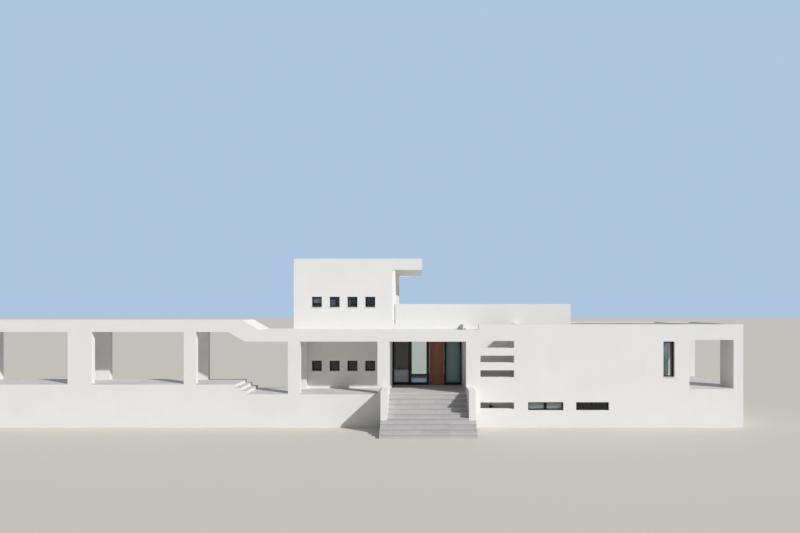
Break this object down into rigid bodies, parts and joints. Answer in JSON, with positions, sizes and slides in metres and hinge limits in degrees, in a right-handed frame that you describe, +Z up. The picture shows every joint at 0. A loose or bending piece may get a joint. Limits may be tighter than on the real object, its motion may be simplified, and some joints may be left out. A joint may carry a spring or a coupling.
{
  "type": "beach house",
  "caption": "White beach house with a raised entrance stair and portico, a pillared walkway whose roof steps down, a square-windowed tower, a slotted light-well wall and a covered end terrace.",
  "frame": {"origin": "at ground level, under the middle of the whole plan", "axes": "+X east along the front, +Y from the entrance front to the garden side, +Z up"},
  "size_m": [36.24, 9.993, 8.004],
  "materials": {
    "white_render": "smooth matt paint on render",
    "grey_stone": "honed",
    "floor_stone": "honed",
    "concrete": "rough cast",
    "black_metal": "satin",
    "clear_glass": "polished",
    "door_wood": "oiled, vertical grain",
    "brushed_steel": "brushed"
  },
  "bodies": {
    "house": {"colonnade_piers": "white_render", "colonnade_roof": "white_render", "door_hinges": "brushed_steel", "front_beam": "white_render", "hall_back_wall": "white_render", "hall_east_wall": "white_render", "hall_floor": "floor_stone", "hall_front_wall": "white_render", "hall_lintels": "white_render", "hall_roof": "white_render", "light_well_walls": "white_render", "living_back_wall": "white_render", "living_end_wall": "white_render", "living_floor": "floor_stone", "living_front_wall": "white_render", "living_roof": "white_render", "porch_paving": "grey_stone", "porch_slabs": "white_render", "portico_plinth": "white_render", "portico_rear_pier": "white_render", "rear_beam": "white_render", "roof_terrace_parapet": "white_render", "screen_glass": "clear_glass", "screen_posts": "black_metal", "screen_rails": "black_metal", "slotted_wall": "white_render", "stair_cheeks": "white_render", "stair_core": "concrete", "stair_risers": "grey_stone", "stair_treads": "grey_stone", "terrace_beams": "white_render", "terrace_pier": "white_render", "terrace_plinth": "white_render", "tower_back_wall": "white_render", "tower_east_wall": "white_render", "tower_front_wall": "white_render", "tower_roof": "white_render", "tower_roof_upstand": "white_render", "tower_upper_floor": "white_render", "tower_west_wall": "white_render", "walkway_cross_beams": "white_render", "walkway_plinth": "white_render", "walkway_step_blocks": "white_render", "window_frames": "black_metal", "window_panes": "clear_glass", "window_sills": "grey_stone"},
    "door": {"door_fittings": "brushed_steel", "entrance_door": "door_wood"}
  },
  "joints": [
    {"name": "entrance_door_hinge", "type": "hinge", "parent": "house", "child": "door", "pos_m": [4.336, 0.772, 2.764], "axis": [0, 0, -1], "range_deg": [0, 90]}
  ]
}
